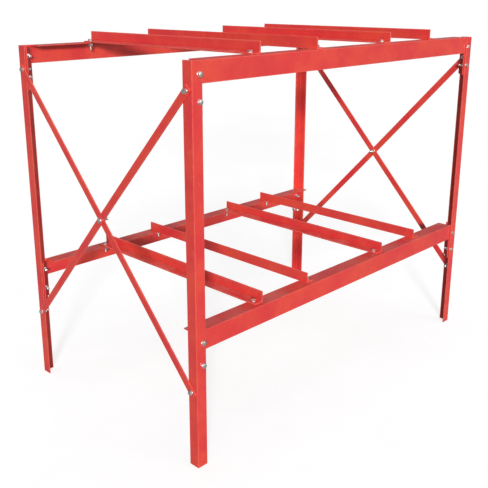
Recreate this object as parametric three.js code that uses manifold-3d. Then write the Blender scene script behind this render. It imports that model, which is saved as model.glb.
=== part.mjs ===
// Two-tier tyre storage rack, bolted together from rolled steel angle.
//
// Four uprights stand at the corners. Four long rails join them in pairs, at the top and at a lower level,
// through an angle cleat welded to each rail end and bolted into the upright. Eight joists lie across the
// rails in pairs, and each pair cradles a row of tyres whose axles point along the joists. Two crossed flat
// bars brace each short end.
//
// Millimetres. +X runs along the rack's length, +Y to its back, +Z up. The origin is on the floor, under
// the middle of the rack.

import * as THREE from "three";
import { mergeVertices } from "three/addons/utils/BufferGeometryUtils.js";
import Module from "manifold-3d";

const wasm = await Module();
wasm.setup();

// ---------------------------------------------------------------- driving dimensions

// Overall frame, measured over the uprights.
const LENGTH = 1800;
const DEPTH = 1050;
const HEIGHT = 1470;
const LOWER_LEVEL = 538; // top of the lower rails, above the floor

// Play between pieces that lie against each other.
const GAP = 0.3;

// Rolled angle of the uprights, cleats and joists.
const LEG = 45;
const THICK = 5;
const ROOT_RADIUS = 6; // inside corner
const TOE_RADIUS = 2.5; // inner edge of each leg's tip

// Rolled angle of the rails: one leg hangs down, the other is a shelf for the joists.
const RAIL_DROP = 75;
const RAIL_SHELF = 65;
const RAIL_THICK = 5;

// End cleats, bolted through the uprights' long-side legs.
const CLEAT_DROP = 176; // from the top of the rail to the bottom of the cleat
const CLEAT_EDGE = 44; // from the top of the rail to the first bolt
const CLEAT_PITCH = 88; // between the two bolts
const CLEAT_GAUGE = 32; // bolt line, from the upright's heel

// Joists: how far apart each pair stands, and where.
const JOIST_INSET = 25; // joist's end, from the uprights' outer faces
const ROW_CENTRE = 400; // middle of a tyre row, from the middle of the rack
const LOWER_CRADLE = 265; // clear width between a pair's upstanding legs
const UPPER_CRADLE = 310;
const JOIST_EDGE = 25; // bolt, from the joist's end
const JOIST_GAUGE = 28; // bolt line, from the joist's heel

// Cross braces of flat bar.
const BRACE_WIDTH = 30;
const BRACE_THICK = 5;
const BRACE_BELOW_CLEAT = 58; // lower bolt, below the bottom of the lower cleats
const BRACE_OFFSET = 8; // upper bolt, below the middle of the upper cleats' two bolts
const BRACE_END = 18; // bar past its end bolts
const BRACE_STEPS = 16; // straight stretches that the bowed bar is made of

// M10 x 40 fasteners: hexagon bolt, two washers, nut.
const BOLT_LENGTH = 40; // under its head
const BOLT_RADIUS = 5;
const HOLE_RADIUS = 5.5;
const HEX_ACROSS_FLATS = 17;
const HEAD_HEIGHT = 6.4;
const NUT_HEIGHT = 8.4;
const WASHER_RADIUS = 10;
const WASHER_THICK = 2;
const WASHER_MARGIN = 0.5; // least distance from a washer's edge to a root radius
const TIP_CHAMFER = 1;
const HOLE_SIDES = 12;
const BOLT_SIDES = 8;
const CUT_MARGIN = 1; // how far a cutter runs past the faces it cuts
const CURVE_STEPS = 3; // facets of each small radius

// ---------------------------------------------------------------- materials

const redPaint = new THREE.MeshStandardMaterial({ color: 0xd83a35, roughness: 0.38, metalness: 0.0 });
const zincPlate = new THREE.MeshStandardMaterial({ color: 0xc4c8cc, roughness: 0.3, metalness: 0.9 });

// ---------------------------------------------------------------- solids and cuts

const X = new THREE.Vector3(1, 0, 0);
const Y = new THREE.Vector3(0, 1, 0);
const Z = new THREE.Vector3(0, 0, 1);
const times = (vector, factor) => vector.clone().multiplyScalar(factor);

// A closed three.js geometry as a manifold solid.
function toSolid(geometry) {
  const bare = geometry.clone();
  bare.deleteAttribute("normal");
  bare.deleteAttribute("uv");
  const merged = mergeVertices(bare, 1e-4);
  return new wasm.Manifold(
    new wasm.Mesh({
      numProp: 3,
      vertProperties: merged.getAttribute("position").array,
      triVerts: new Uint32Array(merged.index.array),
    }),
  );
}

// A manifold solid as a flat-shaded three.js geometry.
function toGeometry(solid) {
  const mesh = solid.getMesh();
  const geometry = new THREE.BufferGeometry();
  geometry.setAttribute("position", new THREE.BufferAttribute(new Float32Array(mesh.vertProperties), 3));
  geometry.setIndex(new THREE.BufferAttribute(new Uint32Array(mesh.triVerts), 1));
  const flat = geometry.toNonIndexed();
  flat.computeVertexNormals();
  return flat;
}

// A drill through `thick` of material, centred on `at`, pointing along `axis`.
function drill(at, axis, thick) {
  const length = thick + 2 * CUT_MARGIN;
  const geometry = new THREE.CylinderGeometry(HOLE_RADIUS, HOLE_RADIUS, length, HOLE_SIDES);
  const turn = new THREE.Quaternion().setFromUnitVectors(Y, axis);
  geometry.applyQuaternion(turn);
  geometry.translate(at.x, at.y, at.z);
  return toSolid(geometry);
}

// Outline of an angle with its heel at 0,0 and its legs along +x and +y.
function angleOutline(legX, legY, thick, heelRadius) {
  const shape = new THREE.Shape();
  const root = thick + ROOT_RADIUS;
  shape.moveTo(heelRadius, 0);
  shape.lineTo(legX, 0);
  shape.lineTo(legX, thick - TOE_RADIUS);
  shape.absarc(legX - TOE_RADIUS, thick - TOE_RADIUS, TOE_RADIUS, 0, Math.PI / 2, false);
  shape.lineTo(root, thick);
  shape.absarc(root, root, ROOT_RADIUS, -Math.PI / 2, -Math.PI, true);
  shape.lineTo(thick, legY - TOE_RADIUS);
  shape.absarc(thick - TOE_RADIUS, legY - TOE_RADIUS, TOE_RADIUS, 0, Math.PI / 2, false);
  shape.lineTo(0, legY);
  if (heelRadius > 0) {
    shape.lineTo(0, heelRadius);
    shape.absarc(heelRadius, heelRadius, heelRadius, Math.PI, 1.5 * Math.PI, false);
  }
  return shape;
}

// A length of angle along +z. `holesX` and `holesY` list the holes through each leg as
// [distance along the bar, distance from the heel].
function angleBar({ legX, legY, thick, length, holesX = [], holesY = [], heelRadius = 0 }) {
  const outline = angleOutline(legX, legY, thick, heelRadius);
  const settings = { depth: length, bevelEnabled: false, curveSegments: CURVE_STEPS };
  let solid = toSolid(new THREE.ExtrudeGeometry(outline, settings));
  for (const [along, across] of holesX) {
    solid = solid.subtract(drill(new THREE.Vector3(across, thick / 2, along), Y, thick));
  }
  for (const [along, across] of holesY) {
    solid = solid.subtract(drill(new THREE.Vector3(thick / 2, across, along), X, thick));
  }
  return solid;
}

// A box between two corners.
function box(low, high) {
  const size = new THREE.Vector3().subVectors(high, low);
  const middle = new THREE.Vector3().addVectors(low, high).multiplyScalar(0.5);
  const geometry = new THREE.BoxGeometry(size.x, size.y, size.z);
  geometry.translate(middle.x, middle.y, middle.z);
  return toSolid(geometry);
}

// A solid moved so that its own x and y point along `alongX` and `alongY`, and its origin is at `origin`.
function turned(solid, alongX, alongY, origin) {
  const alongZ = new THREE.Vector3().crossVectors(alongX, alongY);
  const matrix = new THREE.Matrix4().makeBasis(alongX, alongY, alongZ).setPosition(origin);
  return toSolid(toGeometry(solid).applyMatrix4(matrix));
}

function named(name, solid, material) {
  const mesh = new THREE.Mesh(toGeometry(solid), material);
  mesh.name = name;
  return mesh;
}

// A length of angle in the rack's own frame. Each leg has a direction, a width and its holes, and the bar
// runs along `run` from `heel`. The legs take the bar's x and y in the order that keeps it right-handed.
function angleMember({ heel, legs, run, length, thick = THICK, heelRadius = 0 }) {
  const cross = new THREE.Vector3().crossVectors(legs[0].direction, legs[1].direction);
  const [first, second] = cross.dot(run) > 0 ? legs : [legs[1], legs[0]];
  const bar = angleBar({
    legX: first.width,
    legY: second.width,
    thick,
    length,
    holesX: first.holes,
    holesY: second.holes,
    heelRadius,
  });
  return turned(bar, first.direction, second.direction, heel);
}

// ---------------------------------------------------------------- fasteners

function hexPrism(height, base) {
  const corner = HEX_ACROSS_FLATS / 2 / Math.cos(Math.PI / 6);
  const geometry = new THREE.CylinderGeometry(corner, corner, height, 6);
  geometry.rotateX(Math.PI / 2);
  geometry.translate(0, 0, base + height / 2);
  return toSolid(geometry);
}

// Bolt, washers and nut along +z. The clamped material lies from z = 0 to z = grip, the head below it.
function fastener(grip) {
  const headFace = -GAP - WASHER_THICK;
  const nutFace = grip + GAP + WASHER_THICK;
  const tip = headFace + BOLT_LENGTH;
  const profile = [
    [0, headFace],
    [WASHER_RADIUS, headFace],
    [WASHER_RADIUS, -GAP],
    [BOLT_RADIUS, -GAP],
    [BOLT_RADIUS, grip + GAP],
    [WASHER_RADIUS, grip + GAP],
    [WASHER_RADIUS, nutFace],
    [BOLT_RADIUS, nutFace],
    [BOLT_RADIUS, tip - TIP_CHAMFER],
    [BOLT_RADIUS - TIP_CHAMFER, tip],
    [0, tip],
  ];
  const points = profile.map(([radius, height]) => new THREE.Vector2(radius, height));
  const shank = new THREE.LatheGeometry(points, BOLT_SIDES);
  shank.rotateX(Math.PI / 2);
  return toSolid(shank)
    .add(hexPrism(HEAD_HEIGHT, headFace - HEAD_HEIGHT))
    .add(hexPrism(NUT_HEIGHT, nutFace));
}

// A fastener in the rack, its head's side of the clamped material at `at`, pointing along `into`.
function bolt(name, grip, at, into) {
  const square = Math.abs(into.z) > 0.5 ? X : Z;
  const across = new THREE.Vector3().crossVectors(into, square);
  return named(name, turned(fastener(grip), square, across, at), zincPlate);
}

// ---------------------------------------------------------------- places worked out from the dimensions

const LEVELS = { upper: HEIGHT, lower: LOWER_LEVEL };
const CRADLES = { upper: UPPER_CRADLE, lower: LOWER_CRADLE };
const SIDES = { front: -1, back: 1 };
const ENDS = { left: -1, right: 1 };
const inset = THICK + GAP; // from an upright's outer face to what lies inside it
const railFace = DEPTH / 2 - inset; // a rail's outer face, from the middle of the rack
const railEnd = LENGTH / 2 - inset - LEG; // where a rail meets its cleat, from the middle of the rack
// Brace bolts are as near the upright's heel as their washers can lie flat on the cleat behind.
const braceGauge = inset + THICK + ROOT_RADIUS + WASHER_MARGIN + WASHER_RADIUS;
const joistLength = DEPTH - 2 * JOIST_INSET;
const joistBoltY = joistLength / 2 - JOIST_EDGE;
const braceLow = LOWER_LEVEL - CLEAT_DROP - BRACE_BELOW_CLEAT;
const braceHigh = HEIGHT - CLEAT_EDGE - CLEAT_PITCH / 2 - BRACE_OFFSET;
const braceBoltHeights = [braceLow, braceHigh];
const cleatBoltHeights = (level) => [level - CLEAT_EDGE, level - CLEAT_EDGE - CLEAT_PITCH];
const behindCleat = (z) => Object.values(LEVELS).some((level) => z < level && z > level - CLEAT_DROP);

// The four joists of a level, left to right: heel position, and which way the flat leg points.
function joistPlaces(level) {
  const half = CRADLES[level] / 2;
  return [
    { x: -ROW_CENTRE - half, away: -1 },
    { x: -ROW_CENTRE + half, away: 1 },
    { x: ROW_CENTRE - half, away: -1 },
    { x: ROW_CENTRE + half, away: 1 },
  ];
}

// The two lower rails are one part, turned half round. Its shelf runs on over one cleat to the upright.
const shelfRunsOn = (level, side, end) => level === "lower" && (side === "front") === (end === "left");

// Calls `make` for each corner of the rack.
function atCorners(make) {
  for (const [side, sy] of Object.entries(SIDES)) {
    for (const [end, sx] of Object.entries(ENDS)) {
      make(side, sy, end, sx);
    }
  }
}

// ---------------------------------------------------------------- sub-parts

const rack = new THREE.Group();

function addUprights() {
  atCorners((side, sy, end, sx) => {
    const railHoles = Object.values(LEVELS).flatMap(cleatBoltHeights).map((z) => [z, CLEAT_GAUGE]);
    const braceHoles = braceBoltHeights.map((z) => [z, braceGauge]);
    const solid = angleMember({
      heel: new THREE.Vector3((sx * LENGTH) / 2, (sy * DEPTH) / 2, 0),
      legs: [
        { direction: times(X, -sx), width: LEG, holes: railHoles },
        { direction: times(Y, -sy), width: LEG, holes: braceHoles },
      ],
      run: Z,
      length: HEIGHT,
    });
    rack.add(named(`upright_${side}_${end}`, solid, redPaint));
  });
}

// The short length of angle that is welded to a rail's end and sits inside the upright.
function cleat(top, sy, sx) {
  const bottom = top - CLEAT_DROP;
  const boltHoles = cleatBoltHeights(top).map((z) => [z - bottom, CLEAT_GAUGE - inset]);
  const behindBraces = braceBoltHeights.filter((z) => z > bottom && z < top);
  const braceHoles = behindBraces.map((z) => [z - bottom, braceGauge - inset]);
  return angleMember({
    heel: new THREE.Vector3(sx * (LENGTH / 2 - inset), sy * railFace, bottom),
    legs: [
      { direction: times(X, -sx), width: LEG, holes: boltHoles },
      { direction: times(Y, -sy), width: LEG, holes: braceHoles },
    ],
    run: Z,
    length: CLEAT_DROP,
    heelRadius: ROOT_RADIUS,
  });
}

// A shelf's stretch over its cleat, cut back at the corner to pass the upright's root radius.
function shelfStretch(top, sy, sx) {
  const corner = ROOT_RADIUS + GAP;
  const outerX = sx * (LENGTH / 2 - inset);
  const innerX = sx * (railEnd - TOE_RADIUS);
  const outerY = sy * railFace;
  const innerY = sy * (railFace - RAIL_SHELF);
  const from = (x1, y1, x2, y2, grow) =>
    box(
      new THREE.Vector3(Math.min(x1, x2), Math.min(y1, y2), top - RAIL_THICK - grow),
      new THREE.Vector3(Math.max(x1, x2), Math.max(y1, y2), top + grow),
    );
  const plate = from(outerX, outerY, innerX, innerY, 0);
  return plate.subtract(from(outerX, outerY, outerX - sx * corner, outerY - sy * corner, CUT_MARGIN));
}

// Each rail with the two cleats welded to its ends.
function addRails() {
  for (const [level, top] of Object.entries(LEVELS)) {
    for (const [side, sy] of Object.entries(SIDES)) {
      const half = railEnd + TOE_RADIUS; // runs into the cleats' legs by their toe radius
      const boltLine = railFace - joistBoltY;
      const holes = joistPlaces(level).map(({ x, away }) => [x + away * JOIST_GAUGE + half, boltLine]);
      let solid = angleMember({
        heel: new THREE.Vector3(-half, sy * railFace, top),
        legs: [
          { direction: times(Z, -1), width: RAIL_DROP, holes: [] },
          { direction: times(Y, -sy), width: RAIL_SHELF, holes },
        ],
        run: X,
        length: 2 * half,
        thick: RAIL_THICK,
      });
      for (const [end, sx] of Object.entries(ENDS)) {
        solid = solid.add(cleat(top, sy, sx));
        if (shelfRunsOn(level, side, end)) {
          solid = solid.add(shelfStretch(top, sy, sx));
        }
      }
      rack.add(named(`rail_${level}_${side}`, solid, redPaint));
    }
  }
}

function addJoists() {
  for (const [level, top] of Object.entries(LEVELS)) {
    joistPlaces(level).forEach(({ x, away }, index) => {
      const holes = [JOIST_EDGE, joistLength - JOIST_EDGE].map((along) => [along, JOIST_GAUGE]);
      const solid = angleMember({
        heel: new THREE.Vector3(x, -joistLength / 2, top + GAP),
        legs: [
          { direction: times(X, away), width: LEG, holes },
          { direction: Z, width: LEG, holes: [] },
        ],
        run: Y,
        length: joistLength,
      });
      rack.add(named(`joist_${level}_${index + 1}`, solid, redPaint));
    });
  }
}

function addRailBolts() {
  for (const [level, top] of Object.entries(LEVELS)) {
    atCorners((side, sy, end, sx) => {
      cleatBoltHeights(top).forEach((z, index) => {
        const at = new THREE.Vector3(sx * (LENGTH / 2 - CLEAT_GAUGE), (sy * DEPTH) / 2, z);
        const name = `bolt_rail_${level}_${side}_${end}_${index + 1}`;
        rack.add(bolt(name, inset + THICK, at, times(Y, -sy)));
      });
    });
  }
}

function addJoistBolts() {
  const grip = THICK + GAP + RAIL_THICK;
  for (const [level, top] of Object.entries(LEVELS)) {
    joistPlaces(level).forEach(({ x, away }, index) => {
      for (const [side, sy] of Object.entries(SIDES)) {
        const at = new THREE.Vector3(x + away * JOIST_GAUGE, sy * joistBoltY, top + GAP + THICK);
        rack.add(bolt(`bolt_joist_${level}_${index + 1}_${side}`, grip, at, times(Z, -1)));
      }
    });
  }
}

// How far a bar stands out at `distance` from its middle: 3u^2 - 2u^3 of its bow, where u runs from 0 at
// the end bolts to 1 at the middle.
function bowAt(distance, halfSpan, bow) {
  const u = Math.max(0, 1 - Math.abs(distance) / halfSpan);
  return bow * (3 * u * u - 2 * u * u * u);
}

// A flat bar along x, its width along y and its inner face at z = GAP. Its middle stands out by `bow`, and
// its end bolts are `halfSpan` from there.
function flatBar(halfSpan, bow) {
  const reach = halfSpan + BRACE_END;
  const steps = bow > 0 ? BRACE_STEPS : 1;
  const stations = [-reach];
  for (let step = 0; step <= steps; step++) {
    stations.push(-halfSpan + (2 * halfSpan * step) / steps);
  }
  stations.push(reach);
  const faceAt = (height) => stations.map((s) => new THREE.Vector2(s, height + bowAt(s, halfSpan, bow)));
  const outline = new THREE.Shape([...faceAt(GAP), ...faceAt(GAP + BRACE_THICK).reverse()]);
  const geometry = new THREE.ExtrudeGeometry(outline, { depth: BRACE_WIDTH, bevelEnabled: false });
  geometry.rotateX(Math.PI / 2);
  geometry.translate(0, BRACE_WIDTH / 2, 0);
  let bar = toSolid(geometry);
  for (const along of [-halfSpan, halfSpan]) {
    bar = bar.subtract(drill(new THREE.Vector3(along, 0, GAP + BRACE_THICK / 2), Z, BRACE_THICK));
  }
  return bar;
}

// The two crossed bars of each short end and their end bolts. Both bars lie against the uprights' outer
// faces. The straight one is next to the rack, and the other bows out over it and carries the bolt that
// ties the two together where they cross.
function addBraces() {
  const halfDepth = DEPTH / 2 - braceGauge;
  const halfSpan = Math.hypot(halfDepth, (braceHigh - braceLow) / 2);
  const stack = GAP + BRACE_THICK;
  const straight = flatBar(halfSpan, 0).subtract(drill(new THREE.Vector3(0, 0, stack / 2), Z, BRACE_THICK));
  const tie = toSolid(toGeometry(fastener(2 * stack - GAP)).rotateX(Math.PI));
  const bowed = flatBar(halfSpan, stack).add(tie.translate(0, 0, 2 * stack));
  for (const [end, sx] of Object.entries(ENDS)) {
    const out = times(X, sx);
    const middle = new THREE.Vector3((sx * LENGTH) / 2, 0, (braceLow + braceHigh) / 2);
    const direction = (sy) => new THREE.Vector3(0, sy * halfDepth, (braceHigh - braceLow) / 2).normalize();
    // The straight bar rises to the back, and the bowed one rises to the front.
    const bars = [
      { name: `brace_${end}_inner`, bar: straight, along: direction(SIDES.back) },
      { name: `brace_${end}_outer`, bar: bowed, along: direction(SIDES.front) },
    ];
    for (const { name, bar, along } of bars) {
      const across = new THREE.Vector3().crossVectors(out, along);
      rack.add(named(name, turned(bar, along, across, middle), redPaint));
    }
    for (const [side, sy] of Object.entries(SIDES)) {
      for (const height of braceBoltHeights) {
        const grip = stack + THICK + (behindCleat(height) ? GAP + THICK : 0);
        const at = new THREE.Vector3(sx * (LENGTH / 2 + stack), sy * halfDepth, height);
        const place = height === braceLow ? "low" : "high";
        rack.add(bolt(`bolt_brace_${end}_${side}_${place}`, grip, at, times(X, -sx)));
      }
    }
  }
}

// ---------------------------------------------------------------- the rack

addUprights();
addRails();
addJoists();
addBraces();
addRailBolts();
addJoistBolts();

export default rack;
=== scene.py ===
"""Tyre storage rack: its painted steel angle, zinc fasteners and studio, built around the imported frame.

Everything is in metres, in the frame's own axes: +X along the rack, +Y to its back, +Z up, floor at z = 0.
"""

import math

import bpy
import numpy as np
from bpy.props import FloatProperty, FloatVectorProperty, PointerProperty
from bpy.types import Operator, Panel, PropertyGroup
from mathutils import Euler, Matrix, Vector


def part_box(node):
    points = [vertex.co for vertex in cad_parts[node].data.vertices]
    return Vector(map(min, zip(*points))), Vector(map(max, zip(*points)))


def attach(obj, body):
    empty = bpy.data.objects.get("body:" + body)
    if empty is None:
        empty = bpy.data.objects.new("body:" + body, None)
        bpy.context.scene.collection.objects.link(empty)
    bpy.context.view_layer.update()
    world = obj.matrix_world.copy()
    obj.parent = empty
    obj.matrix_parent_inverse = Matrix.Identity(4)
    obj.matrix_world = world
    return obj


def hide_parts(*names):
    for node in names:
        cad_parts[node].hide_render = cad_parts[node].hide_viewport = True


bl_info = {
    "name": "Tyre Storage Rack",
    "version": (1, 0, 0),
    "blender": (4, 5, 0),
    "location": "View3D > Sidebar > Tyre Rack",
    "description": "Builds a bolted steel angle tyre rack with its paint, fasteners and studio",
    "category": "Add Mesh",
}

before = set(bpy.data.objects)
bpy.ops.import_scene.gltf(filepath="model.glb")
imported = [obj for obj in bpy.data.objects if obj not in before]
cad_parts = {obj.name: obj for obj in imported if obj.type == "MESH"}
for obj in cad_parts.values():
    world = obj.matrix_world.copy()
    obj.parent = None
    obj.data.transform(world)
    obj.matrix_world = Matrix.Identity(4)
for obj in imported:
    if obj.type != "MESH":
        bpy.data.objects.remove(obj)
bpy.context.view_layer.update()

SIDES = {"front": -1, "back": 1}
ENDS = {"left": -1, "right": 1}
LEVELS = ("upper", "lower")
X, Y, Z = np.eye(3)
MM = 0.001
LENGTH_DIGITS = 5  # decimals of a metre shown in the panel


# ------------------------------------------------------------------ sizes and colours


def length(name, description, default):
    """A length property in metres, with its default given in millimetres."""
    return FloatProperty(
        name=name, description=description, default=default * MM,
        min=0, unit="LENGTH", precision=LENGTH_DIGITS,
    )


def colour(name, description, default):
    """A colour property with a linear RGB default."""
    return FloatVectorProperty(
        name=name, description=description, default=default, size=3, min=0, max=1, subtype="COLOR",
    )


def light_level(name, description, default):
    """A strength property that can't go below nothing."""
    return FloatProperty(name=name, description=description, default=default, min=0)


def angle(name, description, degrees):
    """An angle property, with its default given in degrees."""
    return FloatProperty(name=name, description=description, default=math.radians(degrees), subtype="ANGLE")


class RackSteel(PropertyGroup):
    """Sizes of the rolled steel that the frame's boxes don't give."""

    wall: length("Angle wall", "Thickness of the uprights', cleats' and joists' angle", 5)
    rail_wall: length("Rail wall", "Thickness of the rails' angle", 5)
    rail_drop: length("Rail drop", "Height of a rail's hanging leg", 75)
    root_radius: length("Root radius", "Inside corner of a rolled angle", 6)
    toe_radius: length("Toe radius", "Inner edge of an angle leg's tip", 2.5)
    edge_radius: length("Edge radius", "Outer corners of rolled steel", 1.2)
    cut_bevel: length("Cut bevel", "Deburred edge where a bar is sawn", 0.4)
    brace_width: length("Brace width", "Width of the flat bar", 30)
    brace_wall: length("Brace wall", "Thickness of the flat bar", 5)
    brace_end: length("Brace end", "Flat bar past its end bolts", 18)
    gap: length("Gap", "Play between bolted pieces", 0.3)
    weld_width: length("Weld width", "Width of the bead between rail and cleat", 6)
    weld_height: length("Weld height", "How far the bead stands proud", 1.4)
    weld_ripple: length("Weld ripple", "Distance between the bead's ripples", 1.8)


class RackFasteners(PropertyGroup):
    """Sizes of the hexagon bolts, nuts and washers."""

    across_flats: length("Across flats", "Width of heads and nuts", 17)
    head_height: length("Head height", "Height of the bolt head", 6.4)
    nut_height: length("Nut height", "Height of the nut", 8.4)
    washer_radius: length("Washer radius", "Outer radius of the washers", 10)
    washer_thick: length("Washer thickness", "Thickness of the washers", 2)
    bolt_radius: length("Bolt radius", "Outer radius of the thread", 5)
    pitch: length("Thread pitch", "Distance between thread crests", 1.5)
    bolt_length: length("Bolt length", "Length of the bolts under their heads", 40)


class RackColours(PropertyGroup):
    """Finish colours, as linear RGB."""

    paint: colour("Paint", "Red enamel", (0.71, 0.036, 0.039))
    paint_warm: colour("Warm paint", "Where the enamel leans to orange", (0.77, 0.066, 0.040))
    # Darker enamel for the mottle and the scuffs at the foot, also painted as shade in inside corners and
    # over the weld beads.
    paint_deep_and_corner_shade: colour("Deep paint", "Where the enamel pools in corners", (0.50, 0.020, 0.017))
    # Lighter enamel for worn edges and hairline scratches; along edges it is partly a painted edge
    # highlight.
    paint_thin_and_edge_highlight: colour("Thin paint", "Where the enamel pulls off edges", (0.84, 0.130, 0.095))
    primer: colour("Bare edge", "Where a handled edge shows steel", (0.22, 0.17, 0.16))
    dust: colour("Dust", "Dust on faces that look up", (0.66, 0.55, 0.50))
    zinc: colour("Zinc", "Bright zinc plate", (0.80, 0.82, 0.85))
    zinc_warm: colour("Warm zinc", "Faint yellow cast of the plate", (0.78, 0.76, 0.68))
    floor: colour("Floor", "Studio floor", (0.38, 0.38, 0.38))


class RackStudio(PropertyGroup):
    """Light and camera."""

    key: light_level("Key", "Strength of the light at the front left", 3.15)
    fill: light_level("Fill", "Strength of the light at the front right", 0.85)
    top: light_level("Top", "Strength of the light overhead", 1.1)
    room_light: light_level("Room", "Light from all round", 0.08)
    room_sheen: light_level("Room sheen", "The room as it shows in gloss", 0.25)
    backdrop: light_level("Backdrop", "Brightness of the backdrop", 1.0)
    floor_lift: light_level("Floor lift", "Glow that keeps the floor pale", 0.72)
    camera_at: FloatVectorProperty(
        name="Camera", description="Place of the camera", default=(-2.461, -2.257, 1.670), subtype="XYZ",
    )
    azimuth: angle("Azimuth", "Camera turned from looking to the back", -45.22)
    elevation: angle("Elevation", "Camera looking down", 16.21)
    roll: angle("Roll", "Camera roll", -0.11)
    lens: FloatProperty(name="Lens", description="Focal length in millimetres", default=54.42)
    shift: FloatVectorProperty(name="Shift", description="Frame shift", default=(0.0214, -0.0736), size=2)


SETTINGS = {
    "rack_steel": RackSteel,
    "rack_fasteners": RackFasteners,
    "rack_colours": RackColours,
    "rack_studio": RackStudio,
}


def steel():
    """The rack's steel settings."""
    return bpy.context.scene.rack_steel


def fasteners():
    """The rack's fastener settings."""
    return bpy.context.scene.rack_fasteners


# ------------------------------------------------------------------ surfaces

ARC_STEPS = 6  # straight stretches of a quarter circle
RING_STEPS = 36  # straight stretches of a full circle, six to each side of a hexagon
SHARP = math.radians(38)  # edges that turn more than this stay crisp
GUARD = 0.0025  # flat beside a rounded corner over which its wear, painted edge highlight and painted corner shade fade
SIDE_SHARE = 0.45  # most of a side that one corner may take
WEAR_REACH = 0.003  # how far the wear and painted edge highlight of a sawn end reach along the bar
WORN_SHARE = 0.9  # share of that reach whose points count as worn
BEVEL_RUN = 1.01  # a sawn end's bevel along the bar, as a share of its depth
BOW_STEPS = 49  # stations along a bowed bar
LEAST_RADIUS = 1e-5  # radius of a corner that is left sharp
BAR_RADIUS = 0.0009  # rounded edges of flat bar

RIM_RADIUS = 0.0004  # rounded outer rim of a washer
FACE_CIRCLE = 0.47  # flat circle inside a chamfer: its radius as a share of the width across flats
PLAIN_SHARE = 0.985  # size of a hexagon's end without a chamfer
PLAIN_STEP = 0.0002  # height over which such an end draws in
THREAD_SIDES = 24
THREAD_ROWS = 6  # rows of points to each pitch
LEAST_ROWS = 8
THREAD_DEPTH = 0.6  # as a share of the pitch
TIP_BEVEL = 0.0012
POLE_RADIUS = 0.0001  # ring that closes a turned end on its axis
CORE_SHARE = 0.99  # shank hidden in the steel, as a share of the bolt's radius
SEAT_PLAY = 0.02 * MM  # between a washer and the steel

BEAD_ROWS = 5  # rows of points to each ripple
BEAD_SIDES = 9  # points over the crown
BEAD_KNOTS = 9  # places along the bead where its height drifts
BEAD_DRIFT = (0.85, 1.1)
BEAD_SWELL = 0.1
BEAD_TAPER = 0.02  # least share of the bead left at its ends, before the root is taken
BEAD_SINK = 0.0002  # how deep the bead's back lies in the steel
# Corner value over the whole bead, so that the enamel paints the bead a little darker as shade in the corner
# where it lies.
BEAD_CREASE = 0.25

INNER_BEAD_SEED = 10
OUTER_BEAD_SEED = 20
RAIL_BOLT_SEED = 100
JOIST_BOLT_SEED = 200
BRACE_BOLT_SEED = 300


class Shell:
    """A closed surface: points, faces as index tuples, and two values per point. `edge` is 1 on a handled
    corner, where the enamel is worn and also painted lighter as an edge highlight, and `crease` is 1 in an
    inside corner, where the enamel is painted darker as shade."""

    def __init__(self, points, faces, edge=None, crease=None):
        self.points = np.asarray(points, float).reshape(-1, 3)
        self.faces = faces
        self.edge = np.zeros(len(self.points)) if edge is None else np.asarray(edge, float).ravel()
        self.crease = np.zeros(len(self.points)) if crease is None else np.asarray(crease, float).ravel()

    def placed(self, origin, u, v):
        """The shell with its own x, y and z along u, v and u x v, from `origin`."""
        axes = np.array([u, v, np.cross(u, v)], float)
        return Shell(self.points @ axes + np.asarray(origin, float), self.faces, self.edge, self.crease)


def joined(shells):
    """One shell out of several."""
    starts = np.cumsum([0] + [len(s.points) for s in shells[:-1]])
    faces = [tuple(index + start for index in face) for s, start in zip(shells, starts) for face in s.faces]
    arrays = [np.concatenate([getattr(s, key) for s in shells]) for key in ("points", "edge", "crease")]
    return Shell(arrays[0], faces, arrays[1], arrays[2])


def grid_faces(rows, columns, wrap_rows=False):
    """Quads between neighbouring rows of a grid whose columns close into a ring. Point r, c is number
    r * columns + c. With `wrap_rows` the last row joins the first."""
    r = np.arange(rows if wrap_rows else rows - 1)[:, None]
    c = np.arange(columns)[None, :]
    down, right = (r + 1) % rows, (c + 1) % columns
    corners = [r * columns + c, r * columns + right, down * columns + right, down * columns + c]
    return [tuple(quad) for quad in np.stack(corners, axis=-1).reshape(-1, 4).tolist()]


def capped(rows, columns):
    """A grid of rings closed by a flat face over its first and last row."""
    first = tuple(range(columns - 1, -1, -1))
    last = tuple(range((rows - 1) * columns, rows * columns))
    return grid_faces(rows, columns) + [first, last]


def outline(corners):
    """A closed outline with rounded right-angled corners, run anticlockwise. A corner is (x, y, radius).
    With d the way in and e the way out of a corner at P, its arc is P - r d + r e + r (d sin a - e cos a)
    for a from 0 to 90 degrees. A guard point on each side of an arc keeps its wear, painted edge highlight
    and painted corner shade off the flat faces.
    Returns points, outward normals, and the edge and crease values."""
    places = np.array([corner[:2] for corner in corners], float)
    points, normals, edge, crease = [], [], [], []
    for number, (x, y, radius) in enumerate(corners):
        at = np.array([x, y], float)
        way_in, way_out = at - places[number - 1], places[(number + 1) % len(places)] - at
        room = SIDE_SHARE * np.array([np.linalg.norm(way_in), np.linalg.norm(way_out)])
        d, e = way_in / np.linalg.norm(way_in), way_out / np.linalg.norm(way_out)
        outward = d[0] * e[1] - d[1] * e[0]
        a = np.linspace(0, math.pi / 2, ARC_STEPS + 1)[:, None]
        spoke = d * np.sin(a) - e * np.cos(a)
        before, after = np.minimum(radius + GUARD, room)
        steps = [at - d * before, at + radius * (e - d) + radius * spoke, at + e * after]
        points.append(np.vstack(steps))
        normals.append(np.vstack([-e * outward, spoke * outward, d * outward]))
        on_arc = np.concatenate([[0], np.ones(ARC_STEPS + 1), [0]])
        edge.append(on_arc * (outward > 0))
        crease.append(on_arc * (outward < 0))
    return np.vstack(points), np.vstack(normals), np.concatenate(edge), np.concatenate(crease)


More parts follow.
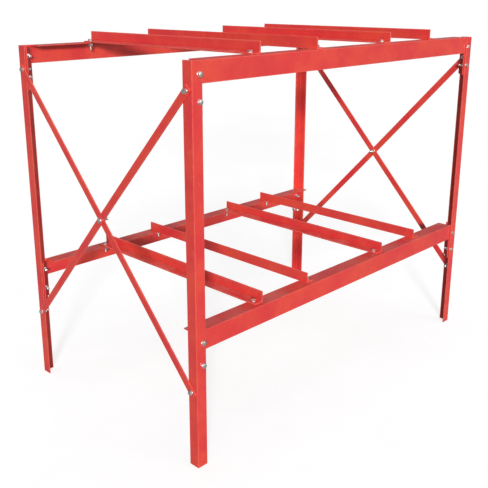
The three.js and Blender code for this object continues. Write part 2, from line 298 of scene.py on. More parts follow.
def angle_outline(leg_x, leg_y, wall, heel_radius):
    """An angle with its heel at 0, 0 and its legs along +x and +y."""
    s = steel()
    return outline([
        (0, 0, heel_radius),
        (leg_x, 0, s.edge_radius),
        (leg_x, wall, s.toe_radius),
        (wall, wall, s.root_radius),
        (wall, leg_y, s.toe_radius),
        (0, leg_y, s.edge_radius),
    ])


def swept(section, distance, bow=None, bevelled=(True, True)):
    """A section carried along z from 0 to `distance`. Each end's rim steps in along the section's normals by
    the cut bevel, unless `bevelled` says that the end butts against its neighbour. `bow` gives how far the
    section has moved along y at each distance."""
    points, normals, edge, crease = section
    bevel = steel().cut_bevel
    run, far = bevel * BEVEL_RUN, distance - WEAR_REACH
    steps = [0, run, WEAR_REACH, far, distance - run, distance]
    if bow is not None:
        steps = np.unique(np.concatenate([steps, np.linspace(WEAR_REACH, far, BOW_STEPS)]))
    z = np.array(steps)
    inset = np.where(z == 0, bevel * bevelled[0], np.where(z == distance, bevel * bevelled[1], 0.0))
    worn_run = WEAR_REACH * WORN_SHARE
    rim = np.where((z < worn_run) * bevelled[0] + (z > distance - worn_run) * bevelled[1], 1.0, 0.0)
    flat = points[None] - normals[None] * inset[:, None, None]
    if bow is not None:
        flat = flat + np.stack([np.zeros_like(z), bow(z)], axis=1)[:, None]
    solid = np.concatenate([flat, np.broadcast_to(z[:, None, None], flat.shape[:2] + (1,))], axis=2)
    worn = np.maximum(edge[None], rim[:, None])
    creased = np.broadcast_to(crease[None], worn.shape)
    return Shell(solid, capped(len(z), len(points)), worn, creased)


def turned(profile):
    """A profile of (radius, height) turned about z."""
    profile = np.asarray(profile, float)
    a = np.linspace(0, 2 * math.pi, RING_STEPS, endpoint=False)
    spokes = np.stack([np.cos(a), np.sin(a)], axis=-1)
    points = np.empty((len(profile), RING_STEPS, 3))
    points[..., :2] = profile[:, None, :1] * spokes[None]
    points[..., 2] = profile[:, 1:]
    return points


def washer(low, high, inner):
    """A flat ring whose outer rim is rounded over."""
    outer, soft = fasteners().washer_radius, RIM_RADIUS
    profile = [
        (inner, low), (inner, high), (outer - soft, high),
        (outer, high - soft), (outer, low + soft), (outer - soft, low),
    ]
    return Shell(turned(profile[::-1]), grid_faces(len(profile), RING_STEPS, wrap_rows=True))


def hexagon(low, high, chamfer_low, chamfer_high, twist):
    """A hexagon prism with cone chamfers. With f its width across flats, its side at angle a is at
    r(a) = (f / 2) / cos(((a + 30) mod 60) - 30). A cone of 30 degrees from the flat circle of radius 0.47 f
    meets that side (r(a) - 0.47 f) tan 30 below the face, which makes the arched edges of a real head."""
    flats = fasteners().across_flats
    a = np.linspace(0, 2 * math.pi, RING_STEPS, endpoint=False)
    side = flats / 2 / np.cos((a + math.pi / 6) % (math.pi / 3) - math.pi / 6)
    circle = np.full_like(side, FACE_CIRCLE * flats)
    drop = (side - circle) * math.tan(math.pi / 6)
    rows = [(circle if chamfer_low else side * PLAIN_SHARE, np.full_like(side, low))]
    rows.append((side, low + (drop if chamfer_low else np.full_like(side, PLAIN_STEP))))
    rows.append((side, high - (drop if chamfer_high else np.full_like(side, PLAIN_STEP))))
    rows.append((circle if chamfer_high else side * PLAIN_SHARE, np.full_like(side, high)))
    turn = a + twist
    points = np.array([[r * np.cos(turn), r * np.sin(turn), h] for r, h in rows]).transpose(0, 2, 1)
    return Shell(points, capped(len(rows), RING_STEPS))


def threaded(low, high):
    """A bolt end with its thread: r = R - depth |2 frac(z / pitch - a / 360) - 1|, a ridge that climbs one
    pitch each turn, run out to a bevel at the tip."""
    f = fasteners()
    steps = max(LEAST_ROWS, int((high - low) / f.pitch * THREAD_ROWS))
    z = np.linspace(low, high, steps)[:, None]
    a = np.linspace(0, 2 * math.pi, THREAD_SIDES, endpoint=False)[None]
    ridge = np.abs(2 * np.mod(z / f.pitch - a / (2 * math.pi), 1) - 1)
    radius = f.bolt_radius - THREAD_DEPTH * f.pitch * ridge
    radius = np.minimum(radius, f.bolt_radius - TIP_BEVEL + (high - z))
    height = np.broadcast_to(z, radius.shape)
    points = np.stack([radius * np.cos(a), radius * np.sin(a), height], axis=-1)
    return Shell(points, capped(steps, THREAD_SIDES))


def bolt_set(grip, twist, nut_twist):
    """Bolt, two washers and nut along z. The clamped steel lies from 0 to `grip`, the head below it."""
    f, gap = fasteners(), steel().gap
    seat = gap + f.washer_thick
    nut = grip + seat
    shank = f.bolt_radius * CORE_SHARE
    core = [(POLE_RADIUS, -seat), (shank, -seat), (shank, nut), (POLE_RADIUS, nut)]
    return joined([
        hexagon(-seat - f.head_height, -seat, True, False, twist),
        washer(-seat, -SEAT_PLAY, f.bolt_radius),
        Shell(turned(core), capped(len(core), RING_STEPS)),
        washer(grip + SEAT_PLAY, nut, f.bolt_radius),
        hexagon(nut, nut + f.nut_height, True, True, nut_twist),
        threaded(nut + 0.5 * f.nut_height, f.bolt_length - seat),
    ])


def weld_bead(distance, seed):
    """A bead along z: half an ellipse whose height swells by a tenth at each ripple, with rounded ends. Its
    back lies just below y = 0 and its crown points to +y."""
    s = steel()
    rng = np.random.default_rng(seed)
    z = np.linspace(0, distance, int(distance / s.weld_ripple * BEAD_ROWS))
    drift = np.interp(z, np.linspace(0, distance, BEAD_KNOTS), rng.uniform(*BEAD_DRIFT, BEAD_KNOTS))
    end = np.sqrt(np.clip(np.minimum(z, distance - z) / s.weld_width, BEAD_TAPER, 1))
    swell = (1 + BEAD_SWELL * np.abs(np.sin(math.pi * z / s.weld_ripple))) * drift * end
    a = np.linspace(0, math.pi, BEAD_SIDES)
    spread = (1 - BEAD_SWELL + BEAD_SWELL * swell[:, None]) * end[:, None]
    across = -np.cos(a)[None] * s.weld_width / 2 * spread
    crown = np.sin(a)[None] * s.weld_height * swell[:, None] - BEAD_SINK
    points = np.stack([across, crown, np.broadcast_to(z[:, None], across.shape)], axis=-1)
    return Shell(points[:, ::-1], capped(len(z), BEAD_SIDES), crease=np.full(points.shape[:2], BEAD_CREASE))


# ------------------------------------------------------------------ pieces


def add_piece(name, shell, material, slot, *nodes):
    """Puts a shell into a mesh object that rides on the rack and stands for CAD nodes."""
    mesh = bpy.data.meshes.new(name)
    mesh.from_pydata(shell.points.tolist(), [], shell.faces)
    for key in ("edge", "crease"):
        layer = mesh.attributes.new(key, "FLOAT", "POINT")
        layer.data.foreach_set("value", getattr(shell, key).astype(np.float32))
    mesh.materials.append(material)
    mesh.polygons.foreach_set("use_smooth", np.ones(len(mesh.polygons), bool))
    mesh.update()
    mesh.set_sharp_from_angle(angle=SHARP)
    piece = bpy.data.objects.new(name, mesh)
    bpy.context.scene.collection.objects.link(piece)
    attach(piece, "root")
    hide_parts(*nodes)


def corners_of(node):
    """Lowest and highest corner of a CAD node, as arrays."""
    low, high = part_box(node)
    return np.array(low), np.array(high)


def angle_between(leg_a, leg_b, run, heel, distance, wall, heel_radius, bevelled=(True, True)):
    """A length of angle from `heel` along `run`. A leg is (direction, width), and the two legs take the
    section's x and y in the order that keeps it right-handed."""
    if np.dot(np.cross(leg_a[0], leg_b[0]), run) < 0:
        leg_a, leg_b = leg_b, leg_a
    section = angle_outline(leg_a[1], leg_b[1], wall, heel_radius)
    return swept(section, distance, bevelled=bevelled).placed(heel, leg_a[0], leg_b[0])


def build_uprights():
    """A length of angle at each corner, its heel outside."""
    s = steel()
    for side, sy in SIDES.items():
        for end, sx in ENDS.items():
            node = f"upright_{side}_{end}"
            low, high = corners_of(node)
            size = high - low
            heel = (high[0] if sx > 0 else low[0], high[1] if sy > 0 else low[1], low[2])
            legs = ((-sx * X, size[0]), (-sy * Y, size[1]))
            bar = angle_between(*legs, Z, heel, size[2], s.wall, s.edge_radius)
            add_piece(f"upright_bar_{side}_{end}", bar, red_enamel(), "red_paint", node)


def shelf_runs_on(level, side, end):
    """Whether a rail's shelf runs on over its cleat. The two lower rails are one part, turned half round."""
    return level == "lower" and (side == "front") == (end == "left")


def build_rails():
    """Each rail's bar, the cleats at its ends, and the stretch of shelf over one lower cleat."""
    s = steel()
    for level in LEVELS:
        for side, sy in SIDES.items():
            node = f"rail_{level}_{side}"
            low, high = corners_of(node)
            upright_low, upright_high = corners_of(f"upright_{side}_left")
            leg = (upright_high - upright_low)[0]
            face = low[1] if sy < 0 else high[1]
            shelf, top = high[1] - low[1], high[2]
            half = high[0] - leg
            run_on = {end: shelf_runs_on(level, side, end) for end in ENDS}
            bar = angle_between(
                (-Z, s.rail_drop), (-sy * Y, shelf), X, (-half, face, top), 2 * half,
                s.rail_wall, s.edge_radius, (False, False),
            )
            add_piece(f"rail_bar_{level}_{side}", bar, red_enamel(), "red_paint", node)
            for end, sx in ENDS.items():
                drop = top - low[2] - run_on[end] * s.rail_wall
                heel = (sx * high[0], face, low[2])
                legs = ((-sx * X, leg), (-sy * Y, leg))
                cleat = angle_between(*legs, Z, heel, drop, s.wall, s.root_radius)
                add_piece(f"cleat_{level}_{side}_{end}", cleat, red_enamel(), "red_paint", node)
                if run_on[end]:
                    plate = shelf_plate(sx, sy, half, high[0], face, shelf, top)
                    add_piece(f"shelf_end_{level}_{side}", plate, red_enamel(), "red_paint", node)


def shelf_plate(sx, sy, near, far, face, shelf, top):
    """The flat stretch of shelf over a cleat, notched at its corner to pass the upright's root radius."""
    s = steel()
    notch = s.root_radius + s.gap
    reach, tip = far - near, s.edge_radius
    # x runs from the rail's end to the upright, y from the rail's face inwards.
    corners = [
        (0, 0, LEAST_RADIUS), (reach - notch, 0, tip), (reach - notch, notch, tip),
        (reach, notch, tip), (reach, shelf, tip), (0, shelf, LEAST_RADIUS),
    ]
    section = outline(corners)
    u, v = sx * X, -sy * Y
    height = top - s.rail_wall
    if np.cross(u, v)[2] < 0:
        # Mirrored, the outline is run with x and y exchanged so that it stays anticlockwise.
        section = outline([(y, x, radius) for x, y, radius in reversed(corners)])
        u, v = v, u
    return swept(section, s.rail_wall).placed((sx * near, face, height), u, v)


def build_welds():
    """The beads that join a rail's hanging leg to its cleats, outside and inside."""
    s = steel()
    for level in LEVELS:
        for side, sy in SIDES.items():
            node = f"rail_{level}_{side}"
            low, high = corners_of(node)
            upright = corners_of(f"upright_{side}_left")
            half = high[0] - (upright[1] - upright[0])[0]
            face = low[1] if sy < 0 else high[1]
            for end, sx in ENDS.items():
                inner = weld_bead(s.rail_drop - s.rail_wall - s.root_radius, INNER_BEAD_SEED + sx)
                outer = weld_bead(s.rail_drop, OUTER_BEAD_SEED + sx + sy)
                base = high[2] - s.rail_drop
                beads = ((inner, -sy * Y, face - sy * s.wall), (outer, sy * Y, face))
                shells = [bead.placed((sx * half, y, base), np.cross(out, Z), out) for bead, out, y in beads]
                add_piece(f"weld_{level}_{side}_{end}", joined(shells), weld_enamel(), "red_paint", node)


def build_joists():
    """A length of angle across the rails for each joist, one leg flat and one upstanding."""
    s = steel()
    for level in LEVELS:
        for number in range(1, 5):
            node = f"joist_{level}_{number}"
            low, high = corners_of(node)
            size = high - low
            # Odd joists stand at their flat leg's right, and even ones at its left.
            away = -1 if number % 2 else 1
            heel = (high[0] if away < 0 else low[0], low[1], low[2])
            bar = angle_between((away * X, size[0]), (Z, size[2]), Y, heel, size[1], s.wall, s.edge_radius)
            add_piece(f"joist_bar_{level}_{number}", bar, red_enamel(), "red_paint", node)


def bar_line(end, rising_to):
    """The end bolts of a brace, from its low end to its high end, in the rack's frame."""
    other = "back" if rising_to == "front" else "front"
    places = []
    for side, place in ((other, "low"), (rising_to, "high")):
        low, high = corners_of(f"bolt_brace_{end}_{side}_{place}")
        places.append((low + high) / 2)
    return places


def build_braces():
    """Two flat bars an end. The outer one bows over the inner: with u running from 0 at the end bolts to 1
    in the middle, it stands out by (wall + gap) (3 u^2 - 2 u^3)."""
    s = steel()
    half_width, wall = s.brace_width / 2, s.brace_wall
    corners = ((-half_width, 0), (half_width, 0), (half_width, wall), (-half_width, wall))
    section = outline([(x, y, BAR_RADIUS) for x, y in corners])
    for end, sx in ENDS.items():
        face = corners_of(f"upright_front_{end}")[sx > 0][0]
        for kind, rising_to, bowed in (("inner", "back", 0.0), ("outer", "front", 1.0)):
            start, finish = bar_line(end, rising_to)
            line = finish - start
            line[0] = 0
            span = np.linalg.norm(line)
            along, out = line / span, sx * X
            origin = start - along * s.brace_end
            origin[0] = face + sx * s.gap

            def bow(z, span=span, bowed=bowed):
                u = np.clip(1 - np.abs(z - s.brace_end - span / 2) / (span / 2), 0, 1)
                return bowed * (wall + s.gap) * (3 * u**2 - 2 * u**3)

            bar = swept(section, span + 2 * s.brace_end, bow).placed(origin, np.cross(out, along), out)
            add_piece(f"brace_bar_{end}_{kind}", bar, red_enamel(), "red_paint", f"brace_{end}_{kind}")


def add_bolt(name, node, axis, number, grip):
    """A bolt set where a CAD node's box is. `axis` points from the head to the thread, through `grip`."""
    low, high = corners_of(node)
    f = fasteners()
    middle, reach = (low + high) / 2, abs(np.dot(high - low, axis))
    seat = steel().gap + f.washer_thick
    origin = middle + axis * (f.head_height + seat - reach / 2)
    rng = np.random.default_rng(number)
    shell = bolt_set(grip, *rng.uniform(0, math.pi / 3, 2))
    u = X if abs(axis[0]) < 0.5 else Y
    add_piece(name, shell.placed(origin, u, np.cross(axis, u)), bright_zinc(), "zinc_plate", node)


def grip_of(walls):
    """Thickness of so many clamped walls, with the gaps between them."""
    s = steel()
    return walls * s.wall + (walls - 1) * s.gap


def build_rail_bolts():
    """The two bolts that hold each cleat to its upright, heads outside."""
    number = RAIL_BOLT_SEED
    for level in LEVELS:
        for side, sy in SIDES.items():
            for end in ENDS:
                for place in (1, 2):
                    node = f"bolt_rail_{level}_{side}_{end}_{place}"
                    add_bolt(f"hex_{node}", node, -sy * Y, number, grip_of(2))
                    number += 1


def build_joist_bolts():
    """The bolt at each end of each joist, pointing down."""
    number = JOIST_BOLT_SEED
    for level in LEVELS:
        for joist in range(1, 5):
            for side in SIDES:
                node = f"bolt_joist_{level}_{joist}_{side}"
                add_bolt(f"hex_{node}", node, -Z, number, grip_of(2))
                number += 1


def build_brace_bolts():
    """The bolts at the ends of the braces, and the ones that tie each pair where they cross. The high ones
    go through a cleat as well."""
    number = BRACE_BOLT_SEED
    for end, sx in ENDS.items():
        for side in SIDES:
            for place in ("low", "high"):
                node = f"bolt_brace_{end}_{side}_{place}"
                add_bolt(f"hex_{node}", node, -sx * X, number, grip_of(3 if place == "high" else 2))
                number += 1
        node = f"brace_{end}_outer"
        add_bolt(f"hex_bolt_tie_{end}", node, -sx * X, number, grip_of(2))
        number += 1


# ------------------------------------------------------------------ shader groups and materials


def add_node(tree, kind, inputs=None, **settings):
    """Adds a shader node. An input is a value, or the socket that feeds it."""
    item = tree.nodes.new("ShaderNode" + kind)
    for key, value in settings.items():
        setattr(item, key, value)
    for key, value in (inputs or {}).items():
        if isinstance(value, bpy.types.NodeSocket):
            tree.links.new(value, item.inputs[key])
        else:
            item.inputs[key].default_value = value
    return item


def maths(tree, operation, *values):
    """The result of one arithmetic step."""
    return add_node(tree, "Math", dict(enumerate(values)), operation=operation).outputs[0]


def times(tree, first, second):
    """A product."""
    return maths(tree, "MULTIPLY", first, second)


def plus(tree, first, second):
    """A sum."""
    return maths(tree, "ADD", first, second)


def ramp(tree, value, low, high, to_low=0.0, to_high=1.0):
    """A value eased from one range into another and held at its ends."""
    inputs = {0: value, 1: low, 2: high, 3: to_low, 4: to_high}
    return add_node(tree, "MapRange", inputs, interpolation_type="SMOOTHSTEP").outputs[0]


def blend(tree, factor, first, second):
    """A colour between two colours."""
    item = add_node(tree, "Mix", {0: factor, 6: first, 7: second}, data_type="RGBA")
    return item.outputs[2]


def noise(tree, where, scale, detail=2.0, rough=0.5):
    """Fractal noise from 0 to 1."""
    inputs = {"Vector": where, "Scale": scale, "Detail": detail, "Roughness": rough}
    return add_node(tree, "TexNoise", inputs).outputs["Fac"]


def rgba(value):
    """A linear colour with full alpha."""
    return (*value, 1.0)


def group(name, sockets_in, sockets_out, fill):
    """A shader node group, built once. `fill` gets its tree and its inputs by name, and returns its
    outputs."""
    if name in bpy.data.node_groups:
        return bpy.data.node_groups[name]
    tree = bpy.data.node_groups.new(name, "ShaderNodeTree")
    for label, (kind, default) in sockets_in.items():
        socket = tree.interface.new_socket(label, in_out="INPUT", socket_type="NodeSocket" + kind)
        if default is not None:
            socket.default_value = default
    for label, kind in sockets_out.items():
        tree.interface.new_socket(label, in_out="OUTPUT", socket_type="NodeSocket" + kind)
    entry, leave = tree.nodes.new("NodeGroupInput"), tree.nodes.new("NodeGroupOutput")
    for label, socket in fill(tree, entry.outputs).items():
        tree.links.new(socket, leave.inputs[label])
    return tree


def place_group(tree, made, **inputs):
    """Places a node group with its own values, and returns its outputs."""
    item = tree.nodes.new("ShaderNodeGroup")
    item.node_tree = made
    for key, value in inputs.items():
        socket = item.inputs[key.replace("_", " ").capitalize()]
        if isinstance(value, bpy.types.NodeSocket):
            tree.links.new(value, socket)
        else:
            socket.default_value = value
    return item.outputs


COARSE_GRAIN = 0.2  # scale of the broad noise, as a share of the grain's
SLOW_SHARE = 0.6  # how much of the mottle is its slow noise
MARK_STRETCHES = ((260.0, 30.0, 18.0), (24.0, 240.0, 30.0), (30.0, 20.0, 280.0))  # hairlines, by direction
MARK_WIDTH = 0.012

DEEP_SHARE = 0.22  # most deep paint that the mottle brings in
CORNER_SHADE_SHARE = 0.35  # painted shade in an inside corner, as a share of the deep paint
MARK_SHARE = 0.55
SCUFF_SHARE = 0.45
SCUFF_HEIGHT = 0.09  # metres of each foot that are scuffed
CHIP_DEPTH = 0.00008
ENAMEL_ROUGHNESS = (0.33, 0.43)
DUST_ROUGHNESS = 0.8
SCUFF_ROUGHNESS = 0.2
MARK_ROUGHNESS = 0.15

ZINC_ROUGHNESS = (0.24, 0.42)
DUST_CLOUDING = 0.8  # how far dust takes the metal's shine away
FLOOR_TONE = 0.06
WHITE = (1.0, 1.0, 1.0, 1.0)


def edge_wear_and_highlight_group():
    """Where a handled edge is worn and painted lighter, partly real wear and partly a painted edge
    highlight, and where it is chipped: the edge value, broken up by noise of the given grain.
    """

    def fill(tree, given):
        coarse = noise(tree, given["Where"], times(tree, given["Grain"], COARSE_GRAIN), detail=3.0)
        fine = noise(tree, given["Where"], given["Grain"], detail=4.0, rough=0.65)
        rub = times(tree, given["Edge"], ramp(tree, coarse, low=0.18, high=0.62))
        worn_and_highlight = times(tree, rub, given["Amount"])
        chip = maths(tree, "GREATER_THAN", times(tree, rub, fine), given["Chip"])
        return {"Thin": worn_and_highlight, "Chip": chip}

    sockets = {
        "Where": ("Vector", None), "Edge": ("Float", 0.0), "Grain": ("Float", 300.0),
        "Amount": ("Float", 1.0), "Chip": ("Float", 0.55),
    }
    return group("handled edge", sockets, {"Thin": "Float", "Chip": "Float"}, fill)


def dust_group():
    """Dust that settles on faces that look up, and is patchy."""

    def fill(tree, given):
        normal = add_node(tree, "NewGeometry").outputs["Normal"]
        upward = ramp(tree, add_node(tree, "SeparateXYZ", {0: normal}).outputs["Z"], low=0.5, high=1.0)
        cloud = noise(tree, given["Where"], given["Patch"], detail=5.0, rough=0.6)
        patches = ramp(tree, cloud, low=0.35, high=0.75)
        return {"Mask": times(tree, times(tree, upward, patches), given["Amount"])}

    sockets = {"Where": ("Vector", None), "Patch": ("Float", 9.0), "Amount": ("Float", 0.2)}
    return group("settled dust", sockets, {"Mask": "Float"}, fill)


def mottle_group():
    """Slow and quick changes of tone: two noises, added about a middle of 0.5."""

    def fill(tree, given):
        slow = noise(tree, given["Where"], given["Slow"], detail=3.0)
        quick = noise(tree, given["Where"], given["Quick"], detail=4.0, rough=0.6)
        both = plus(tree, times(tree, slow, SLOW_SHARE), times(tree, quick, 1 - SLOW_SHARE))
        return {"Tone": ramp(tree, both, low=0.3, high=0.7)}

    sockets = {"Where": ("Vector", None), "Slow": ("Float", 2.5), "Quick": ("Float", 45.0)}
    return group("tone mottle", sockets, {"Tone": "Float"}, fill)


def skin_group():
    """Height of a finish in metres: long waves under a fine skin."""

    def fill(tree, given):
        wave = noise(tree, given["Where"], given["Wave"], detail=2.0)
        grain = noise(tree, given["Where"], given["Grain"], detail=3.0, rough=0.55)
        raised = times(tree, wave, given["Wave height"])
        return {"Height": plus(tree, raised, times(tree, grain, given["Grain height"]))}

    sockets = {
        "Where": ("Vector", None), "Wave": ("Float", 30.0), "Grain": ("Float", 420.0),
        "Wave height": ("Float", 0.0002), "Grain height": ("Float", 0.00006),
    }
    return group("finish skin", sockets, {"Height": "Float"}, fill)


def hairline_group():
    """Sparse hairline marks: the narrow band where a noise, drawn out along one axis, crosses its middle,
    kept only where a second, broad noise is high."""

    def fill(tree, given):
        marks = []
        for stretch in MARK_STRETCHES:
            scaled = {0: given["Where"], 1: stretch}
            drawn = add_node(tree, "VectorMath", scaled, operation="MULTIPLY").outputs[0]
            middle = maths(tree, "SUBTRACT", noise(tree, drawn, scale=1.0, detail=1.0), 0.5)
            away = maths(tree, "ABSOLUTE", middle)
            marks.append(ramp(tree, away, low=0.0, high=MARK_WIDTH, to_low=1.0, to_high=0.0))
        every = maths(tree, "MAXIMUM", maths(tree, "MAXIMUM", marks[0], marks[1]), marks[2])
        kept = ramp(tree, noise(tree, given["Where"], given["Patch"], detail=3.0), low=0.56, high=0.68)
        return {"Mask": times(tree, every, kept)}

    sockets = {"Where": ("Vector", None), "Patch": ("Float", 14.0)}
    return group("hairline marks", sockets, {"Mask": "Float"}, fill)


def new_material(name, fill):
    """A material, built once. `fill` gets its tree and Object coordinates, and returns the Principled
    inputs."""
    if name in bpy.data.materials:
        return bpy.data.materials[name]
    material = bpy.data.materials.new(name)
    material.use_nodes = True
    tree = material.node_tree
    tree.nodes.clear()
    where = add_node(tree, "TexCoord").outputs["Object"]
    shader = add_node(tree, "BsdfPrincipled", fill(tree, where))
    add_node(tree, "OutputMaterial", {"Surface": shader.outputs[0]})
    return material


def enamel(name, waviness, grain_height):
    """Red enamel over steel: painted shade in inside corners, edges worn, chipped and painted lighter as an
    edge highlight, dusty on top and scuffed at the foot."""

    def fill(tree, where):
        c = bpy.context.scene.rack_colours
        edge = add_node(tree, "Attribute", attribute_name="edge").outputs["Fac"]
        crease = add_node(tree, "Attribute", attribute_name="crease").outputs["Fac"]
        tone = place_group(tree, mottle_group(), where=where)["Tone"]
        warmth = ramp(tree, noise(tree, where, scale=6.0, detail=4.0, rough=0.6), low=0.35, high=0.65)
        wear = place_group(tree, edge_wear_and_highlight_group(), where=where, edge=edge, amount=0.65, chip=0.63)
        dust = place_group(tree, dust_group(), where=where, amount=0.18)["Mask"]
        marks = place_group(tree, hairline_group(), where=where)["Mask"]
        height = add_node(tree, "SeparateXYZ", {0: where}).outputs["Z"]
        near_floor = ramp(tree, height, low=0.0, high=SCUFF_HEIGHT, to_low=1.0, to_high=0.0)
        patches = ramp(tree, noise(tree, where, scale=55.0, detail=5.0, rough=0.7), low=0.5, high=0.7)
        scuffs = times(tree, near_floor, patches)
        cast = blend(tree, warmth, rgba(c.paint), rgba(c.paint_warm))
        deep = ramp(tree, tone, low=0.0, high=1.0, to_low=0.0, to_high=DEEP_SHARE)
        body = blend(tree, deep, cast, rgba(c.paint_deep_and_corner_shade))
        # Painted shade: the deep paint laid into inside corners and over the weld beads.
        corner_shaded = blend(tree, times(tree, crease, CORNER_SHADE_SHARE), body, rgba(c.paint_deep_and_corner_shade))
        # Edges painted lighter: partly worn paint, partly a painted edge highlight.
        worn_and_highlit = blend(tree, wear["Thin"], corner_shaded, rgba(c.paint_thin_and_edge_highlight))
        marked = blend(tree, times(tree, marks, MARK_SHARE), worn_and_highlit, rgba(c.paint_thin_and_edge_highlight))
        dusty = blend(tree, dust, marked, rgba(c.dust))
        scuffed = blend(tree, times(tree, scuffs, SCUFF_SHARE), dusty, rgba(c.paint_deep_and_corner_shade))
        chipped = blend(tree, wear["Chip"], scuffed, rgba(c.primer))
        rough = ramp(tree, tone, 0.0, 1.0, *ENAMEL_ROUGHNESS)
        rough = plus(tree, rough, times(tree, dust, DUST_ROUGHNESS))
        rough = plus(tree, rough, times(tree, scuffs, SCUFF_ROUGHNESS))
        rough = plus(tree, rough, times(tree, marks, MARK_ROUGHNESS))
        heights = {"wave_height": waviness, "grain_height": grain_height}
        skin = place_group(tree, skin_group(), where=where, **heights)["Height"]
        skin = maths(tree, "SUBTRACT", skin, times(tree, wear["Chip"], CHIP_DEPTH))
        bump = add_node(tree, "Bump", {"Height": skin, "Strength": 0.8, "Distance": 1.0})
        return {
            "Base Color": chipped, "Roughness": rough, "Normal": bump.outputs[0],
            "Coat Weight": 0.35, "Coat Roughness": 0.16, "IOR": 1.5,
        }

    return new_material(name, fill)


def red_enamel():
    """Enamel on the bars, cleats and shelves."""
    return enamel("red enamel on rolled steel", waviness=0.00018, grain_height=0.00003)


def weld_enamel():
    """Enamel on the weld beads, rougher underneath."""
    return enamel("red enamel on weld", waviness=0.0004, grain_height=0.00008)


def bright_zinc():
    """Bright zinc plate with a faint warm and cool cast and tool-rubbed patches."""

    def fill(tree, where):
        c = bpy.context.scene.rack_colours
        tone = place_group(tree, mottle_group(), where=where, slow=70.0, quick=600.0)["Tone"]
        scales = {"wave": 180.0, "grain": 1500.0}
        heights = {"wave_height": 0.00005, "grain_height": 0.000012}
        skin = place_group(tree, skin_group(), where=where, **scales, **heights)["Height"]
        bump = add_node(tree, "Bump", {"Height": skin, "Strength": 0.7, "Distance": 1.0})
        dust = place_group(tree, dust_group(), where=where, patch=120.0, amount=0.15)["Mask"]
        plate = blend(tree, tone, rgba(c.zinc), rgba(c.zinc_warm))
        return {
            "Base Color": blend(tree, dust, plate, rgba(c.dust)),
            "Metallic": maths(tree, "SUBTRACT", 1.0, times(tree, dust, DUST_CLOUDING)),
            "Roughness": ramp(tree, tone, 0.0, 1.0, *ZINC_ROUGHNESS),
            "Normal": bump.outputs[0],
        }

    return new_material("bright zinc", fill)


def studio_floor():
    """A plain pale matt floor. Its glow keeps it pale for the eye and adds no light to the rack, in gloss or
    otherwise."""
    if "studio floor" in bpy.data.materials:
        return bpy.data.materials["studio floor"]
    studio = bpy.context.scene.rack_studio
    material = bpy.data.materials.new("studio floor")
    material.use_nodes = True
    tree = material.node_tree
    tree.nodes.clear()
    where = add_node(tree, "TexCoord").outputs["Object"]
    tone = place_group(tree, mottle_group(), where=where, slow=0.8, quick=9.0)["Tone"]
    base = rgba(bpy.context.scene.rack_colours.floor)
    paler = ramp(tree, tone, low=0.0, high=1.0, to_low=0.0, to_high=FLOOR_TONE)
    matt = add_node(tree, "BsdfDiffuse", {"Color": blend(tree, paler, base, WHITE)})
    rays = add_node(tree, "LightPath").outputs
    lift = times(tree, rays["Is Camera Ray"], studio.floor_lift)
    glow = add_node(tree, "Emission", {"Color": WHITE, "Strength": lift})
    both = add_node(tree, "AddShader", {0: matt.outputs[0], 1: glow.outputs[0]})
    add_node(tree, "OutputMaterial", {"Surface": both.outputs[0]})
    return material


# ------------------------------------------------------------------ stage


def add_light(name, azimuth, elevation, strength, spread):
    """A distant light. In degrees, azimuth 0 is in front of the rack and 90 at its right."""
    light = bpy.data.lights.new(name, "SUN")
    light.energy = strength
    light.angle = math.radians(spread)
    lamp = bpy.data.objects.new(name, light)
    turn, rise = math.radians(azimuth), math.radians(elevation)
    towards = Vector((math.sin(turn) * math.cos(rise), -math.cos(turn) * math.cos(rise), math.sin(rise)))
    lamp.rotation_euler = towards.to_track_quat("Z", "Y").to_euler()
    bpy.context.scene.collection.objects.link(lamp)


SENSOR_WIDTH = 36.0  # millimetres
FAR_CLIP = 200.0
FLOOR_REACH = 60.0
LIGHTS = (("key", -45, 14, 8), ("fill", 15, 10, 40), ("top", 0, 88, 60))  # azimuth, elevation, spread


def build_stage():
    """Camera, floor, lights and the room's own light. The room is seen at its backdrop's brightness, shows
    in gloss at its sheen's, and lights everything else at its own."""
    scene = bpy.context.scene
    studio = scene.rack_studio
    scene.view_settings.view_transform = "Standard"
    camera = bpy.data.objects.new("camera", bpy.data.cameras.new("camera"))
    camera.data.lens = studio.lens
    camera.data.sensor_width = SENSOR_WIDTH
    camera.data.shift_x, camera.data.shift_y = studio.shift
    camera.data.clip_end = FAR_CLIP
    look = Euler((math.pi / 2 - studio.elevation, 0, studio.azimuth)).to_matrix().to_4x4()
    roll = Matrix.Rotation(studio.roll, 4, "Z")
    camera.matrix_world = Matrix.Translation(studio.camera_at) @ look @ roll
    scene.collection.objects.link(camera)
    scene.camera = camera

    points = [(x * FLOOR_REACH, y * FLOOR_REACH, 0.0) for x, y in ((-1, -1), (1, -1), (1, 1), (-1, 1))]
    mesh = bpy.data.meshes.new("floor")
    mesh.from_pydata(points, [], [(0, 1, 2, 3)])
    mesh.materials.append(studio_floor())
    floor = bpy.data.objects.new("floor", mesh)
    scene.collection.objects.link(floor)

    for name, azimuth, elevation, spread in LIGHTS:
        add_light(name, azimuth, elevation, getattr(studio, name), spread)

    world = bpy.data.worlds.new("room")
    scene.world = world
    world.use_nodes = True
    tree = world.node_tree
    tree.nodes.clear()
    rays = add_node(tree, "LightPath").outputs
    levels = {0: rays["Is Glossy Ray"], 2: studio.room_light, 3: studio.room_sheen}
    unseen = add_node(tree, "Mix", levels).outputs[0]
    seen = add_node(tree, "Mix", {0: rays["Is Camera Ray"], 2: unseen, 3: studio.backdrop}).outputs[0]
    glow = add_node(tree, "Background", {"Color": WHITE, "Strength": seen})
    add_node(tree, "OutputWorld", {"Surface": glow.outputs[0]})


# ------------------------------------------------------------------ operators and panel


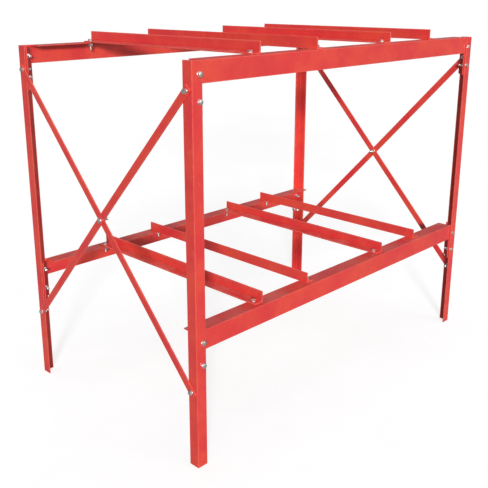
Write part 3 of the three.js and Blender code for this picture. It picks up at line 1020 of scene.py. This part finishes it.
class BuildStep(Operator):
    """One step of the rack's making."""

    bl_options = {"REGISTER", "UNDO"}
    make = None

    def execute(self, context):
        type(self).make()
        return {"FINISHED"}


class RACK_OT_uprights(BuildStep):
    """Build the four corner uprights"""

    bl_idname = "rack.uprights"
    bl_label = "Uprights"
    make = staticmethod(build_uprights)


class RACK_OT_rails(BuildStep):
    """Build the long rails and their cleats"""

    bl_idname = "rack.rails"
    bl_label = "Rails and cleats"
    make = staticmethod(build_rails)


class RACK_OT_welds(BuildStep):
    """Build the weld beads between rails and cleats"""

    bl_idname = "rack.welds"
    bl_label = "Welds"
    make = staticmethod(build_welds)


class RACK_OT_joists(BuildStep):
    """Build the joists that cradle the tyres"""

    bl_idname = "rack.joists"
    bl_label = "Joists"
    make = staticmethod(build_joists)


class RACK_OT_braces(BuildStep):
    """Build the crossed flat bars at both ends"""

    bl_idname = "rack.braces"
    bl_label = "Braces"
    make = staticmethod(build_braces)


class RACK_OT_rail_bolts(BuildStep):
    """Build the bolts between uprights and cleats"""

    bl_idname = "rack.rail_bolts"
    bl_label = "Rail bolts"
    make = staticmethod(build_rail_bolts)


class RACK_OT_joist_bolts(BuildStep):
    """Build the bolts between joists and rails"""

    bl_idname = "rack.joist_bolts"
    bl_label = "Joist bolts"
    make = staticmethod(build_joist_bolts)


class RACK_OT_brace_bolts(BuildStep):
    """Build the bolts of the braces"""

    bl_idname = "rack.brace_bolts"
    bl_label = "Brace bolts"
    make = staticmethod(build_brace_bolts)


class RACK_OT_stage(BuildStep):
    """Build the camera, floor and lights"""

    bl_idname = "rack.stage"
    bl_label = "Stage"
    make = staticmethod(build_stage)


STEPS = (
    RACK_OT_stage, RACK_OT_uprights, RACK_OT_rails, RACK_OT_welds, RACK_OT_joists, RACK_OT_braces,
    RACK_OT_rail_bolts, RACK_OT_joist_bolts, RACK_OT_brace_bolts,
)


class RACK_PT_panel(Panel):
    """Lists the rack's settings and steps"""

    bl_idname = "RACK_PT_panel"
    bl_label = "Tyre Storage Rack"
    bl_space_type = "VIEW_3D"
    bl_region_type = "UI"
    bl_category = "Tyre Rack"

    def draw(self, context):
        for key, kind in SETTINGS.items():
            box = self.layout.box()
            box.label(text=kind.__name__)
            for name in kind.__annotations__:
                box.prop(getattr(context.scene, key), name)
        for step in STEPS:
            self.layout.operator(step.bl_idname)


def register():
    """Registers the settings, the steps and the panel."""
    for kind in (*SETTINGS.values(), *STEPS, RACK_PT_panel):
        bpy.utils.register_class(kind)
    for key, kind in SETTINGS.items():
        setattr(bpy.types.Scene, key, PointerProperty(type=kind))


def unregister():
    """Takes them away again."""
    for key in SETTINGS:
        delattr(bpy.types.Scene, key)
    for kind in reversed((*SETTINGS.values(), *STEPS, RACK_PT_panel)):
        bpy.utils.unregister_class(kind)


def main():
    """Builds the stage and the rack."""
    register()
    for step in STEPS:
        family, name = step.bl_idname.split(".")
        getattr(getattr(bpy.ops, family), name)()


if __name__ == "__main__":
    main()
